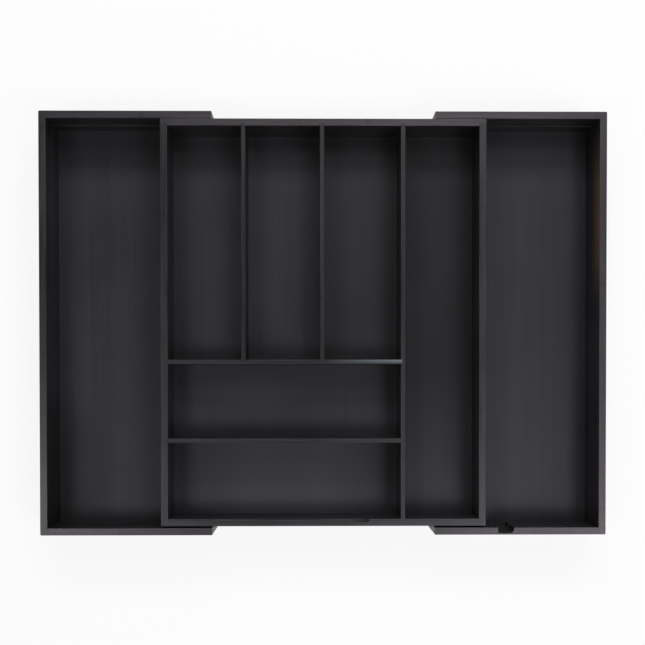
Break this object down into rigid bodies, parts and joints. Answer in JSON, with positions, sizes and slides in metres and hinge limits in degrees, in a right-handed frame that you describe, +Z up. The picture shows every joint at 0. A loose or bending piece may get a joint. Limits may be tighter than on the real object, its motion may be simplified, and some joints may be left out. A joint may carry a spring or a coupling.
{
  "type": "cutlery tray",
  "caption": "Expanding black bamboo cutlery tray: a divided middle tray with a side tray at each end that slides out to fill the width of a drawer.",
  "frame": {"origin": "on the surface that the tray stands on, below the middle of its outline when drawn out", "axes": "+X to the right along the slide, +Y to the back, +Z up"},
  "size_m": [0.576, 0.43, 0.06],
  "materials": {
    "stained_board": "black-stained bamboo boards under satin lacquer",
    "stained_panel": "black-stained bamboo ply panels under satin lacquer",
    "slide_strip": "black-stained bamboo strip, waxed",
    "pin_steel": "blackened steel"
  },
  "bodies": {
    "middle_tray": {"middle_left_wall": "stained_board", "middle_right_wall": "stained_board", "middle_front_wall": "stained_board", "middle_back_wall": "stained_board", "middle_floor": "stained_panel", "long_divider": "stained_board", "back_cross_divider": "stained_board", "front_cross_divider": "stained_board", "left_slot_divider": "stained_board", "right_slot_divider": "stained_board", "left_front_runner": "slide_strip", "left_back_runner": "slide_strip", "right_front_runner": "slide_strip", "right_back_runner": "slide_strip", "middle_corner_pins": "pin_steel"},
    "left_tray": {"left_outer_wall": "stained_board", "left_front_rail": "stained_board", "left_back_rail": "stained_board", "left_floor": "stained_panel", "left_front_stop": "slide_strip", "left_back_stop": "slide_strip", "left_corner_pins": "pin_steel"},
    "right_tray": {"right_outer_wall": "stained_board", "right_front_rail": "stained_board", "right_back_rail": "stained_board", "right_floor": "stained_panel", "right_front_stop": "slide_strip", "right_back_stop": "slide_strip", "right_corner_pins": "pin_steel"}
  },
  "joints": [
    {"name": "left_slide", "type": "slide", "parent": "middle_tray", "child": "left_tray", "axis": [-1, 0, 0], "range_m": [-0.113, 0]},
    {"name": "right_slide", "type": "slide", "parent": "middle_tray", "child": "right_tray", "axis": [1, 0, 0], "range_m": [-0.113, 0]}
  ]
}
